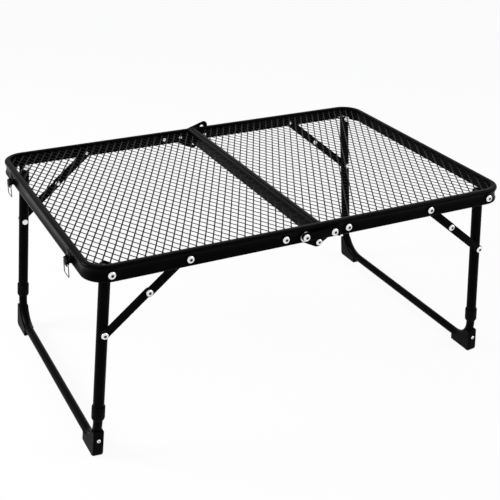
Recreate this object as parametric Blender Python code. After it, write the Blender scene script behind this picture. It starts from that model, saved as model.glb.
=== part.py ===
"""Folding camp table with a diamond mesh top, U-shaped telescopic legs and two-link braces.

The origin is on the floor under the middle of the top. +X runs along the table towards the right
half, -Y is the front, +Z is up. The top is in two halves that meet at x = 0.
"""

import math

import bmesh
import bpy
from mathutils import Matrix, Vector

# Overall size
LENGTH = 0.600
WIDTH = 0.400
HEIGHT = 0.274
GAP = 0.0003

# Rolled rail round each half
RAIL_HEIGHT = 0.021
RAIL_FLANGE = 0.008
RAIL_SHEET = 0.0016
GROOVE = 0.0012
CORNER_RADIUS = 0.031
CORNER_STEPS = 8

# Bar along the middle of the table, one on each half
BAR_FLANGE = 0.0068

# Mesh top: each diamond here stands for 3 x 3 of the real ones, which are 10.8 x 20.7 mm
NET_CELL_X = 0.0324
NET_CELL_Y = 0.0621
NET_CELLS = 16
NET_STRAND = 0.0030
NET_SHEET = 0.0012
NET_UNDER_FLANGE = 0.0035

# Legs
PIVOT_X = 0.2715
PIVOT_DROP = 0.012
LEG_Y = 0.1757
SPLAY = math.radians(5.3)
TUBE_RADIUS = 0.0071
TUBE_BORE = 0.0063
TUBE_ABOVE = 0.004
TUBE_BELOW = 0.205
THIN_RADIUS = 0.0060
THIN_TOP = 0.095
THIN_BEND = 0.037
U_RAIL_HEIGHT = 0.012
COLLAR_FROM = 0.1903
COLLAR_TO = 0.2104
COLLAR_RADIUS = 0.0085

# Corner feet
FOOT_THICK = 0.014
FOOT_LENGTH = 0.042
FOOT_SLEEVE_TOP = 0.036
FOOT_WALL = 0.0010
FOOT_RIM = 0.0015
FOOT_ROUND = 0.006

# Braces
BRACE_RAIL_X = 0.174
BRACE_LEG_S = 0.0863
UPPER_LINK_WIDTH = 0.0115
LOWER_LINK_WIDTH = 0.0112

# Distances from the table's centre line to the layers beside each long rail
WALL_INNER = WIDTH / 2 - GROOVE - RAIL_SHEET
HEAD_FROM = WIDTH / 2 - GAP
HEAD_THICK = 0.0022
TAIL_THICK = 0.0012
CORNER_SAG = 0.0012
LEFT_HINGE_Y = (0.1949, 0.1969)
RIGHT_HINGE_Y = (0.1928, 0.1946)
UPPER_LINK_Y = (0.1863, 0.1883)
LOWER_LINK_Y = (0.1836, 0.1856)
HOOK_Y = (0.2016, 0.2036)

# Centre hinge and lock hooks, measured from the rail's top edge
HINGE_X = 0.002
HINGE_DROP = 0.024
HINGE_REACH = 0.052
LOBE_RADIUS = 0.008
HOOK_PIVOT_X = -0.0185
STUD_X = 0.0225
HOOK_DROP = 0.0125
BACK_HOOK_LIFT = math.radians(15)

# Latches on the left end, catches on the right end
LATCH_Y = 0.132
LATCH_PIVOT_OUT = 0.0042
LATCH_PIVOT_DROP = 0.016
LATCH_BAIL_AT = (0.0010, -0.0036)
BAIL_HALF_WIDTH = 0.0089
BAIL_DROP = 0.0165
BAIL_WIRE = 0.0007

# Round parts
PIN_RADIUS = 0.0025
PIN_HOLE = 0.0028
SMALL_PIN = 0.0022
SMALL_HOLE = 0.0025
HEAD_RADIUS = 0.0048
SMALL_HEAD_RADIUS = 0.0046
NUT_RADIUS = 0.0040
SPACER_RADIUS = 0.0038
SHOULDER_RADIUS = 0.0036
WASHER_RADIUS = 0.0070
PIN_SIDES = 12
TUBE_SIDES = 16

PIVOT_Z = HEIGHT - PIVOT_DROP
U_RAIL_S = (PIVOT_Z - U_RAIL_HEIGHT) / math.cos(SPLAY)


def clear_scene():
    for obj in list(bpy.data.objects):
        bpy.data.objects.remove(obj, do_unlink=True)
    for collection in list(bpy.data.collections):
        bpy.data.collections.remove(collection)


def new_collection(name):
    collection = bpy.data.collections.new(name)
    bpy.context.scene.collection.children.link(collection)
    return collection


def make_material(name, colour, roughness, metallic):
    material = bpy.data.materials.new(name)
    material.use_nodes = True
    shader = material.node_tree.nodes["Principled BSDF"]
    shader.inputs["Base Color"].default_value = (*colour, 1)
    shader.inputs["Roughness"].default_value = roughness
    shader.inputs["Metallic"].default_value = metallic
    material.diffuse_color = (*colour, 1)
    return material


class Parts:
    """The collections and materials that every piece goes into."""

    def __init__(self):
        self.table = new_collection("folding_camp_table")
        self.cutters = new_collection("cutters")
        self.black_paint = make_material("black_paint", (0.018, 0.018, 0.019), 0.38, 0.0)
        self.black_wire = make_material("black_wire", (0.012, 0.012, 0.013), 0.45, 0.0)
        self.black_plastic = make_material("black_plastic", (0.022, 0.022, 0.023), 0.55, 0.0)
        self.plated_steel = make_material("plated_steel", (0.72, 0.73, 0.74), 0.25, 1.0)


def finish_mesh(bm, name):
    """Closes a bmesh into mesh data with its faces pointing out."""
    bmesh.ops.remove_doubles(bm, verts=bm.verts, dist=1e-6)
    bmesh.ops.recalc_face_normals(bm, faces=bm.faces)
    mesh = bpy.data.meshes.new(name)
    bm.to_mesh(mesh)
    bm.free()
    return mesh


def add_piece(parts, name, mesh, material, parent, matrix=None, smooth=False):
    """Puts a mesh in the table's collection, placed in world space and carried by its parent."""
    obj = bpy.data.objects.new(name, mesh)
    parts.table.objects.link(obj)
    mesh.materials.clear()
    mesh.materials.append(material)
    if smooth:
        mesh.shade_smooth()
        mesh.set_sharp_from_angle(angle=math.radians(35))
    place(obj, parent, matrix or Matrix.Identity(4))
    return obj


def place(obj, parent, world):
    obj.parent = parent
    if parent is not None:
        bpy.context.view_layer.update()
        obj.matrix_parent_inverse = parent.matrix_world.inverted()
    obj.matrix_world = world
    bpy.context.view_layer.update()


def add_axis(parts, name, position, parent=None):
    """An empty on a joint's axis, which carries the pieces that move there."""
    empty = bpy.data.objects.new(name, None)
    empty.empty_display_size = 0.02
    parts.table.objects.link(empty)
    place(empty, parent, Matrix.Translation(position))
    return empty


def add_cutter(parts, target, mesh, operation="DIFFERENCE", matrix=None):
    """Cuts or joins a mesh, given in world space, by a Boolean modifier on the target."""
    cutter = bpy.data.objects.new(target.name + "_tool", mesh)
    parts.cutters.objects.link(cutter)
    cutter.matrix_world = matrix or Matrix.Identity(4)
    cutter.display_type = "WIRE"
    cutter.hide_render = True
    boolean = target.modifiers.new("cut", "BOOLEAN")
    boolean.operation = operation
    boolean.solver = "EXACT"
    boolean.object = cutter
    bpy.context.view_layer.update()


# Shapes


def spin_profile(bm, profile, sides):
    """Turns a closed profile of (radius, height) points round the Z axis."""
    verts = [bm.verts.new((radius, 0, height)) for radius, height in profile]
    edges = [bm.edges.new(pair) for pair in zip(verts, verts[1:] + verts[:1])]
    bmesh.ops.spin(bm, geom=verts + edges, cent=(0, 0, 0), axis=(0, 0, 1), dvec=(0, 0, 0),
                   angle=2 * math.pi, steps=sides, use_merge=True, use_duplicate=False)


def turned_mesh(name, profile, sides=PIN_SIDES):
    """A turned solid. A profile that touches the axis has its edge on the axis removed."""
    bm = bmesh.new()
    spin_profile(bm, profile, sides)
    bmesh.ops.remove_doubles(bm, verts=bm.verts, dist=1e-6)
    on_axis = [e for e in bm.edges if all(math.hypot(v.co.x, v.co.y) < 1e-7 for v in e.verts)]
    bmesh.ops.delete(bm, geom=on_axis, context="EDGES")
    return finish_mesh(bm, name)


def pin_profile(steps):
    """The outline of a stepped pin, from [(from, to, radius), ...] along its axis."""
    points = [(0, steps[0][0])]
    for low, high, radius in steps:
        points += [(radius, low), (radius, high)]
    points.append((0, steps[-1][1]))
    return points


def domed_pin_profile(steps, dome=0.0012):
    """A stepped pin whose last step is a domed rivet head."""
    points = pin_profile(steps)[:-2]
    _, high, radius = steps[-1]
    points.append((radius, high - dome))
    points.append((radius * 0.82, high - dome * 0.35))
    points.append((radius * 0.45, high))
    points.append((0, high))
    return points


def outward_at(x, z, side):
    """Places a turned piece with its axis along the outward direction of the front or back rail."""
    turn = Matrix.Rotation(math.radians(90 if side < 0 else -90), 4, "X")
    return Matrix.Translation((x, 0, z)) @ turn


def rod_mesh(name, low, high, radius, sides=PIN_SIDES):
    """A plain round bar along Z."""
    bm = bmesh.new()
    bmesh.ops.create_cone(bm, cap_ends=True, segments=sides, radius1=radius, radius2=radius,
                          depth=high - low, matrix=Matrix.Translation((0, 0, (low + high) / 2)))
    return finish_mesh(bm, name)


def box_mesh(name, low, high):
    bm = bmesh.new()
    size = Vector(high) - Vector(low)
    middle = (Vector(high) + Vector(low)) / 2
    bmesh.ops.create_cube(bm, size=1, matrix=Matrix.LocRotScale(middle, None, size))
    return finish_mesh(bm, name)


def arc(centre, radius, start, end, steps):
    """Points on an arc, angles in degrees from the first axis towards the second."""
    points = []
    for i in range(steps + 1):
        angle = math.radians(start + (end - start) * i / steps)
        points.append((centre[0] + radius * math.cos(angle), centre[1] + radius * math.sin(angle)))
    return points


def plate_mesh(name, outlines, thickness):
    """A flat plate in the local XY plane: the first outline is its edge, the others are holes."""
    curve = bpy.data.curves.new(name, "CURVE")
    curve.dimensions = "2D"
    curve.fill_mode = "BOTH"
    curve.extrude = thickness / 2
    for outline in outlines:
        spline = curve.splines.new("POLY")
        spline.points.add(len(outline) - 1)
        for point, (x, y) in zip(spline.points, outline):
            point.co = (x, y, 0, 1)
        spline.use_cyclic_u = True
    return curve_mesh(curve, name)


def curve_mesh(curve, name):
    """Turns curve data into a closed mesh with its caps welded on."""
    obj = bpy.data.objects.new(name + "_curve", curve)
    bpy.context.scene.collection.objects.link(obj)
    graph = bpy.context.evaluated_depsgraph_get()
    mesh = bpy.data.meshes.new_from_object(obj.evaluated_get(graph))
    bpy.data.objects.remove(obj)
    bm = bmesh.new()
    bm.from_mesh(mesh)
    bpy.data.meshes.remove(mesh)
    return finish_mesh(bm, name)


def upright_plate(side, near, far):
    """Stands a plate up in the XZ plane between two distances from the centre line."""
    middle = side * (near + far) / 2
    return Matrix.Translation((0, middle, 0)) @ Matrix.Rotation(math.radians(90), 4, "X")


def circle(x, y, radius, sides=PIN_SIDES):
    return arc((x, y), radius, 0, 360 - 360 / sides, sides - 1)


def tube_mesh(name, points, radius, resolution=3):
    """A round bar along a polyline."""
    curve = bpy.data.curves.new(name, "CURVE")
    curve.dimensions = "3D"
    curve.bevel_depth = radius
    curve.bevel_resolution = resolution
    curve.use_fill_caps = True
    spline = curve.splines.new("POLY")
    spline.points.add(len(points) - 1)
    for point, place_at in zip(spline.points, points):
        point.co = (*place_at, 1)
    return curve_mesh(curve, name)


# Top


def rail_section():
    """The rail's section as (inset, drop) points: flange, rounded top edge, groove, lower bead."""
    inner = GROOVE + RAIL_SHEET
    outer_top = arc((0.0025, -0.0025), 0.0025, 90, 180, 4)
    groove_mid = -RAIL_HEIGHT / 2 - 0.0005
    groove = [(0, groove_mid + 0.0068), (GROOVE, groove_mid + 0.0045),
              (GROOVE, groove_mid - 0.0045), (0, groove_mid - 0.0068)]
    bead = [(0, -RAIL_HEIGHT + 0.0012), (0.0008, -RAIL_HEIGHT), (inner, -RAIL_HEIGHT)]
    flange = [(inner, -RAIL_SHEET), (RAIL_FLANGE, -RAIL_SHEET), (RAIL_FLANGE, 0)]
    return outer_top + groove + bead + flange


def extrude_edges(bm, edges, offset):
    """Draws a loop of edges out and returns the new loop."""
    made = bmesh.ops.extrude_edge_only(bm, edges=edges)["geom"]
    verts = [g for g in made if isinstance(g, bmesh.types.BMVert)]
    bmesh.ops.translate(bm, verts=verts, vec=offset)
    return [g for g in made if isinstance(g, bmesh.types.BMEdge)
            and all(v in verts for v in g.verts)]


def spin_edges(bm, edges, centre, angle, steps):
    """Turns a loop of edges round a vertical axis and returns the last loop."""
    verts = list({v for e in edges for v in e.verts})
    made = bmesh.ops.spin(bm, geom=verts + edges, cent=centre, axis=(0, 0, 1), dvec=(0, 0, 0),
                          angle=angle, steps=steps, use_duplicate=False)["geom_last"]
    return [g for g in made if isinstance(g, bmesh.types.BMEdge)]


def half_rail_mesh(name, side):
    """The rail round one half, from the front hinge round the end to the back hinge."""
    bm = bmesh.new()
    start_x = side * GAP / 2
    section = [bm.verts.new((start_x, -WIDTH / 2 + inset, HEIGHT + drop))
               for inset, drop in rail_section()]
    loop = [bm.edges.new(pair) for pair in zip(section, section[1:] + section[:1])]
    bmesh.ops.contextual_create(bm, geom=loop)
    straight = LENGTH / 2 - CORNER_RADIUS
    across = WIDTH / 2 - CORNER_RADIUS
    turn = math.radians(90) * side
    loop = extrude_edges(bm, loop, (side * straight - start_x, 0, 0))
    loop = spin_edges(bm, loop, (side * straight, -across, 0), turn, CORNER_STEPS)
    loop = extrude_edges(bm, loop, (0, 2 * across, 0))
    loop = spin_edges(bm, loop, (side * straight, across, 0), turn, CORNER_STEPS)
    loop = extrude_edges(bm, loop, (start_x - side * straight, 0, 0))
    bmesh.ops.contextual_create(bm, geom=loop)
    return finish_mesh(bm, name)


def centre_bar_mesh(name, side):
    """The angle bar that closes one half along the middle of the table."""
    end = WIDTH / 2 - RAIL_FLANGE - GAP
    near = side * GAP / 2
    wall = near + side * RAIL_SHEET
    far = side * BAR_FLANGE
    outline = [(near, HEIGHT), (near, HEIGHT - RAIL_HEIGHT), (wall, HEIGHT - RAIL_HEIGHT),
               (wall, HEIGHT - RAIL_SHEET), (far, HEIGHT - RAIL_SHEET), (far, HEIGHT)]
    return plate_mesh(name, [outline], 2 * end)


def clip(bm, point, outward):
    """Cuts away what lies outside a vertical plane."""
    geom = bm.verts[:] + bm.edges[:] + bm.faces[:]
    bmesh.ops.bisect_plane(bm, geom=geom, plane_co=point, plane_no=outward, clear_outer=True)


def net_mesh(name, side):
    """One flat net of diamonds that ends under the rail's flange and beside the centre bar."""
    bm = bmesh.new()
    bmesh.ops.create_grid(bm, x_segments=NET_CELLS, y_segments=NET_CELLS, size=NET_CELLS / 2)
    turn = Matrix.Rotation(math.radians(45), 4, "Z")
    stretch = Matrix.Diagonal((NET_CELL_X / math.sqrt(2), NET_CELL_Y / math.sqrt(2), 1, 1))
    middle = Matrix.Translation((side * LENGTH / 4, 0, HEIGHT - RAIL_SHEET - GAP))
    bmesh.ops.transform(bm, matrix=middle @ stretch @ turn, verts=bm.verts)
    inset = RAIL_FLANGE - NET_UNDER_FLANGE
    clip(bm, (0, -WIDTH / 2 + inset, 0), (0, -1, 0))
    clip(bm, (0, WIDTH / 2 - inset, 0), (0, 1, 0))
    clip(bm, (side * (LENGTH / 2 - inset), 0, 0), (side, 0, 0))
    clip(bm, (side * (GAP + RAIL_SHEET + GAP), 0, 0), (-side, 0, 0))
    radius = CORNER_RADIUS - inset
    for corner_y in (-1, 1):
        centre = Vector((side * (LENGTH / 2 - CORNER_RADIUS), corner_y * (WIDTH / 2 - CORNER_RADIUS), 0))
        for angle in (22.5, 45, 67.5):
            way = Vector((side * math.cos(math.radians(angle)),
                          corner_y * math.sin(math.radians(angle)), 0))
            clip(bm, centre + way * radius, way)
    open_strands(bm)
    sheet = bmesh.ops.extrude_face_region(bm, geom=bm.faces[:])["geom"]
    lower = [g for g in sheet if isinstance(g, bmesh.types.BMVert)]
    bmesh.ops.translate(bm, verts=lower, vec=(0, 0, -NET_SHEET))
    return finish_mesh(bm, name)


def open_strands(bm):
    """Opens every cell that is wide enough, so that strands are left between them."""
    wide = []
    for face in bm.faces:
        inner_radius = 2 * face.calc_area() / face.calc_perimeter()
        if inner_radius > NET_STRAND:
            wide.append(face)
    bmesh.ops.inset_individual(bm, faces=wide, thickness=NET_STRAND / 2, use_even_offset=True)
    bmesh.ops.delete(bm, geom=wide, context="FACES")


def cross_holes_mesh(name, places, radius, reach=(0.165, 0.215)):
    """Round cutters along Y at (x, z) places, on both the front and the back."""
    bm = bmesh.new()
    length = reach[1] - reach[0]
    for x, z in places:
        for side in (-1, 1):
            middle = Vector((x, side * (reach[0] + reach[1]) / 2, z))
            turn = Matrix.Rotation(math.radians(90), 4, "X")
            bmesh.ops.create_cone(bm, cap_ends=True, segments=PIN_SIDES, radius1=radius,
                                  radius2=radius, depth=length,
                                  matrix=Matrix.Translation(middle) @ turn)
    return finish_mesh(bm, name)


def hinge_plate_outline(side):
    """The plate inside one rail: a bar beside the rail and a lobe that hangs round the pin."""
    pin = (HINGE_X, HEIGHT - HINGE_DROP)
    far = side * HINGE_REACH
    top = HEIGHT - 0.0055
    low = HEIGHT - 0.0185
    shoulder = side * 0.026
    if side < 0:
        lobe = arc(pin, LOBE_RADIUS, 235, 400, 11)
        return [(far, top), (far, low), (shoulder, low)] + lobe + [(HINGE_X + 0.001, top)]
    lobe = arc(pin, LOBE_RADIUS, -55, -220, 11)
    return [(far, top), (far, low), (shoulder, low)] + lobe + [(HINGE_X - 0.001, top)]


def make_half(parts, label, side, carrier):
    """The rail, bar, net, hinge plates and fixed pins of one half of the top."""
    rail = add_piece(parts, f"{label}_rail", half_rail_mesh(f"{label}_rail", side),
                     parts.black_paint, carrier, smooth=True)
    lock_x = HOOK_PIVOT_X if side < 0 else STUD_X
    holes = [(side * PIVOT_X, PIVOT_Z), (side * BRACE_RAIL_X, PIVOT_Z),
             (lock_x, HEIGHT - HOOK_DROP)]
    add_cutter(parts, rail, cross_holes_mesh("rail_holes", holes, PIN_HOLE))
    add_piece(parts, f"{label}_centre_bar", centre_bar_mesh(f"{label}_centre_bar", side),
              parts.black_paint, carrier, Matrix.Rotation(math.radians(90), 4, "X"))
    add_piece(parts, f"{label}_mesh_top", net_mesh(f"{label}_mesh_top", side),
              parts.black_wire, carrier)
    near, far = LEFT_HINGE_Y if side < 0 else RIGHT_HINGE_Y
    for face, facing in (("front", -1), ("back", 1)):
        holes = [circle(HINGE_X, HEIGHT - HINGE_DROP, PIN_HOLE),
                 circle(lock_x, HEIGHT - HOOK_DROP, PIN_HOLE)]
        mesh = plate_mesh(f"{label}_{face}_hinge_plate", [hinge_plate_outline(side)] + holes,
                          far - near)
        add_piece(parts, f"{label}_{face}_hinge_plate", mesh, parts.black_paint, carrier,
                  upright_plate(facing, near, far))
        make_leg_bolt(parts, f"{label}_{face}_leg_bolt", side, facing, carrier)
        make_brace_rivet(parts, f"{label}_{face}_brace_rivet", side, facing, carrier)


def make_leg_bolt(parts, name, side, facing, carrier):
    """The pivot bolt of one leg: head, shank, spacer collar, shank through the tube and a nut."""
    tube_out = LEG_Y + TUBE_RADIUS + GAP
    tube_in = LEG_Y - TUBE_RADIUS - GAP
    spacer_end = WALL_INNER - CORNER_SAG
    steps = [(tube_in - HEAD_THICK, tube_in, NUT_RADIUS), (tube_in, tube_out, PIN_RADIUS),
             (tube_out, spacer_end, SPACER_RADIUS), (spacer_end, HEAD_FROM, PIN_RADIUS),
             (HEAD_FROM, HEAD_FROM + HEAD_THICK, HEAD_RADIUS)]
    mesh = turned_mesh(name, domed_pin_profile(steps))
    add_piece(parts, name, mesh, parts.plated_steel, carrier,
              outward_at(side * PIVOT_X, PIVOT_Z, facing), smooth=True)


def make_brace_rivet(parts, name, side, facing, carrier):
    """The shouldered rivet that carries the upper brace link inside the rail."""
    steps = [(UPPER_LINK_Y[0] - GAP, UPPER_LINK_Y[1] + GAP, SMALL_PIN),
             (UPPER_LINK_Y[1] + GAP, WALL_INNER - GAP, SHOULDER_RADIUS),
             (WALL_INNER - GAP, HEAD_FROM, PIN_RADIUS),
             (HEAD_FROM, HEAD_FROM + HEAD_THICK, HEAD_RADIUS)]
    mesh = turned_mesh(name, domed_pin_profile(steps))
    add_piece(parts, name, mesh, parts.plated_steel, carrier,
              outward_at(side * BRACE_RAIL_X, PIVOT_Z, facing), smooth=True)


# Centre hinge pins, lock hooks and their studs


def make_hinge_pin(parts, name, facing, carrier):
    steps = [(RIGHT_HINGE_Y[0] - 2 * GAP, WIDTH / 2 + GAP, PIN_RADIUS),
             (WIDTH / 2 + GAP, WIDTH / 2 + GAP + HEAD_THICK, HEAD_RADIUS)]
    mesh = turned_mesh(name, domed_pin_profile(steps))
    add_piece(parts, name, mesh, parts.plated_steel, carrier,
              outward_at(HINGE_X, HEIGHT - HINGE_DROP, facing), smooth=True)


def make_hook_pivot(parts, name, facing, carrier):
    """The stud that the hook turns on, with its wide washer against the rail."""
    steps = [(LEFT_HINGE_Y[0] - GAP, WIDTH / 2 + GAP, PIN_RADIUS),
             (WIDTH / 2 + GAP, HOOK_Y[0] - GAP, WASHER_RADIUS),
             (HOOK_Y[0] - GAP, HOOK_Y[1] + GAP, PIN_RADIUS),
             (HOOK_Y[1] + GAP, HOOK_Y[1] + GAP + HEAD_THICK, HEAD_RADIUS)]
    mesh = turned_mesh(name, domed_pin_profile(steps))
    add_piece(parts, name, mesh, parts.plated_steel, carrier,
              outward_at(HOOK_PIVOT_X, HEIGHT - HOOK_DROP, facing), smooth=True)


def make_lock_stud(parts, name, facing, carrier):
    """The headed stud on the right half that the hook drops over."""
    steps = [(RIGHT_HINGE_Y[0] - GAP, HOOK_Y[1] + GAP, PIN_RADIUS),
             (HOOK_Y[1] + GAP, HOOK_Y[1] + GAP + HEAD_THICK, HEAD_RADIUS)]
    mesh = turned_mesh(name, domed_pin_profile(steps))
    add_piece(parts, name, mesh, parts.plated_steel, carrier,
              outward_at(STUD_X, HEIGHT - HOOK_DROP, facing), smooth=True)


def lock_hook_outline():
    """The hook about its pivot: a round end, an arm and a claw whose mouth opens downwards.

    The mouth is wider than the stud on its far side, so the stud can swing out of it.
    """
    reach = STUD_X - HOOK_PIVOT_X
    round_end = arc((0, 0), 0.0055, 110, 270, 10)
    arm_low = [(reach - 0.013, -0.0045), (reach - 0.0029, -0.0030)]
    mouth = arc((reach, 0.0001), 0.0029, 180, 29, 6)
    lip = arc((reach + 0.0074, -0.0052), 0.0020, 190, 340, 5)
    back = arc((reach + 0.0040, 0.0012), 0.0062, 5, 90, 5)
    return round_end + arm_low + mouth + lip + back


def make_lock_hook(parts, name, facing, lift, carrier):
    axis = add_axis(parts, name + "_axis", (HOOK_PIVOT_X, 0, HEIGHT - HOOK_DROP), carrier)
    mesh = plate_mesh(name, [lock_hook_outline(), circle(0, 0, PIN_HOLE)], HOOK_Y[1] - HOOK_Y[0])
    pivot = Matrix.Translation((HOOK_PIVOT_X, 0, HEIGHT - HOOK_DROP))
    lifted = Matrix.Rotation(-lift, 4, "Y")
    add_piece(parts, name, mesh, parts.black_paint, axis,
              pivot @ lifted @ upright_plate(facing, *HOOK_Y))


# Latches and catches on the ends


def latch_frame(y):
    """Local X runs outwards from the left end and local Y runs up, from the lever's pivot."""
    return (Matrix.Translation((-LENGTH / 2 - LATCH_PIVOT_OUT, y, HEIGHT - LATCH_PIVOT_DROP))
            @ Matrix.Rotation(math.radians(180), 4, "Z")
            @ Matrix.Rotation(math.radians(90), 4, "X"))


def make_latch(parts, label, y, carrier):
    """A draw latch: a base with two ears and a pin, a lever and a wire bail that hangs from it."""
    frame = latch_frame(y)
    back_face = -LATCH_PIVOT_OUT + GAP
    base = add_piece(parts, f"{label}_latch_base",
                     box_mesh("latch_base", (back_face, -0.0020, -0.0075),
                              (back_face + 0.0014, 0.0105, 0.0075)),
                     parts.black_paint, carrier, frame)
    ear = [(back_face + 0.0007, -0.0020)] + arc((0, 0), 0.0022, -90, 90, 6)
    ear += [(back_face + 0.0007, 0.0040)]
    for end in (-1, 1):
        lift = Matrix.Translation((0, 0, end * 0.0063))
        add_cutter(parts, base, plate_mesh("latch_ear", [ear], 0.0012), "UNION", frame @ lift)
    add_cutter(parts, base, rod_mesh("latch_pin", -0.0066, 0.0066, 0.0011, 10), "UNION", frame)
    axis = add_axis(parts, f"{label}_latch_axis", frame.translation, carrier)
    barrel = arc((0, 0), 0.0024, 40, 220, 8)
    blade = [(-0.0012, -0.0050), (0.0008, -0.0066), (0.0024, -0.0066), (0.0028, -0.0034)]
    holes = [circle(0, 0, 0.0014, 12), circle(*LATCH_BAIL_AT, 0.0011, 10)]
    lever = plate_mesh(f"{label}_latch_lever", [barrel + blade] + holes, 0.0105)
    add_piece(parts, f"{label}_latch_lever", lever, parts.black_paint, axis, frame)
    swing = frame @ Matrix.Translation((*LATCH_BAIL_AT, 0))
    bail_axis = add_axis(parts, f"{label}_bail_axis", swing.translation, axis)
    make_bail(parts, f"{label}_latch_bail", swing, bail_axis)


def make_bail(parts, name, frame, carrier):
    """A closed wire loop: its top bar lies in the lever, its bottom bar hooks under the catch."""
    half, drop, round_by = BAIL_HALF_WIDTH, BAIL_DROP, 0.0022
    corners = [(half, 0), (half, -drop), (-half, -drop), (-half, 0)]
    points = []
    for i, (z, y) in enumerate(corners):
        before = Vector(corners[i - 1])
        after = Vector(corners[(i + 1) % 4])
        corner = Vector((z, y))
        points.append(corner + (before - corner).normalized() * round_by)
        points.append(corner + ((before - corner).normalized()
                                + (after - corner).normalized()) * round_by * 0.3)
        points.append(corner + (after - corner).normalized() * round_by)
    curve = bpy.data.curves.new(name, "CURVE")
    curve.dimensions = "3D"
    curve.bevel_depth = BAIL_WIRE
    curve.bevel_resolution = 1
    spline = curve.splines.new("POLY")
    spline.points.add(len(points) - 1)
    for point, place_at in zip(spline.points, points):
        point.co = (0, place_at[1], place_at[0], 1)
    spline.use_cyclic_u = True
    add_piece(parts, name, curve_mesh(curve, name), parts.plated_steel, carrier, frame, smooth=True)


def make_catch(parts, name, y, carrier):
    """A bent plate on the right end whose lip takes the bail when the table is shut."""
    x = LENGTH / 2 + GAP
    z = HEIGHT - HOOK_DROP
    outline = [(x, z - 0.0065), (x, z + 0.0065), (x + 0.0014, z + 0.0065), (x + 0.0014, z + 0.0012),
               (x + 0.0040, z + 0.0012), (x + 0.0040, z + 0.0048), (x + 0.0052, z + 0.0048),
               (x + 0.0052, z - 0.0002), (x + 0.0014, z - 0.0002), (x + 0.0014, z - 0.0065)]
    matrix = Matrix.Translation((0, y, 0)) @ Matrix.Rotation(math.radians(90), 4, "X")
    add_piece(parts, name, plate_mesh(name, [outline], 0.012), parts.black_paint, carrier, matrix)


# Legs, in a frame whose origin is the leg's pivot, local X outwards, local Z up along the tube


def leg_frame(side):
    return (Matrix.Translation((side * PIVOT_X, 0, PIVOT_Z))
            @ Matrix.Rotation(-side * SPLAY, 4, "Y"))


def make_leg_tube(parts, name, side, facing, carrier):
    """A hollow tube, cross-drilled for its pivot bolt and for the brace rivet."""
    profile = [(TUBE_RADIUS, -TUBE_BELOW), (TUBE_RADIUS, TUBE_ABOVE),
               (TUBE_BORE, TUBE_ABOVE), (TUBE_BORE, -TUBE_BELOW)]
    frame = leg_frame(side) @ Matrix.Translation((0, facing * LEG_Y, 0))
    tube = add_piece(parts, name, turned_mesh(name, profile, TUBE_SIDES), parts.black_paint,
                     carrier, frame, smooth=True)
    across = Matrix.Rotation(math.radians(90 if facing < 0 else -90), 4, "X")
    bolt_hole = rod_mesh("bolt_hole", -0.012, 0.012, PIN_HOLE)
    add_cutter(parts, tube, bolt_hole, matrix=frame @ across)
    rivet_hole = rod_mesh("rivet_hole", -0.012, 0.012, SMALL_HOLE)
    add_cutter(parts, tube, rivet_hole,
               matrix=frame @ Matrix.Translation((0, 0, -BRACE_LEG_S)) @ across)


def make_collar(parts, name, side, facing, carrier):
    """The moulded collar on the tube's lower end, which guides the thinner tube."""
    inner = TUBE_RADIUS + GAP
    guide = THIN_RADIUS + GAP
    step = -TUBE_BELOW - GAP
    profile = [(inner, -COLLAR_FROM), (inner, step), (guide, step), (guide, -COLLAR_TO),
               (0.0068, -COLLAR_TO), (COLLAR_RADIUS, -COLLAR_TO + 0.0032),
               (COLLAR_RADIUS, -COLLAR_FROM - 0.0012), (COLLAR_RADIUS - 0.0006, -COLLAR_FROM)]
    frame = leg_frame(side) @ Matrix.Translation((0, facing * LEG_Y, 0))
    add_piece(parts, name, turned_mesh(name, profile, TUBE_SIDES), parts.black_plastic, carrier,
              frame, smooth=True)


def make_brace_leg_rivet(parts, name, side, facing, carrier):
    """The rivet through the leg tube that holds the lower brace link on its outside."""
    tube_in = LEG_Y - TUBE_RADIUS - GAP
    head_from = LOWER_LINK_Y[1] + GAP
    steps = [(tube_in - TAIL_THICK, tube_in, NUT_RADIUS), (tube_in, head_from, SMALL_PIN),
             (head_from, head_from + HEAD_THICK, SMALL_HEAD_RADIUS)]
    mesh = turned_mesh(name, domed_pin_profile(steps))
    place_at = leg_frame(side) @ Matrix.Translation((0, 0, -BRACE_LEG_S))
    turn = Matrix.Rotation(math.radians(90 if facing < 0 else -90), 4, "X")
    add_piece(parts, name, mesh, parts.plated_steel, carrier, place_at @ turn, smooth=True)


def u_path():
    """The thin tube's centre line as (y, z) points: down, round, across, round and up."""
    low = -U_RAIL_S
    points = [(-LEG_Y, -THIN_TOP)]
    points += arc((-LEG_Y + THIN_BEND, low + THIN_BEND), THIN_BEND, 180, 270, 6)
    points += arc((LEG_Y - THIN_BEND, low + THIN_BEND), THIN_BEND, 270, 360, 6)
    points.append((LEG_Y, -THIN_TOP))
    return [(0, y, z) for y, z in points]


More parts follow.
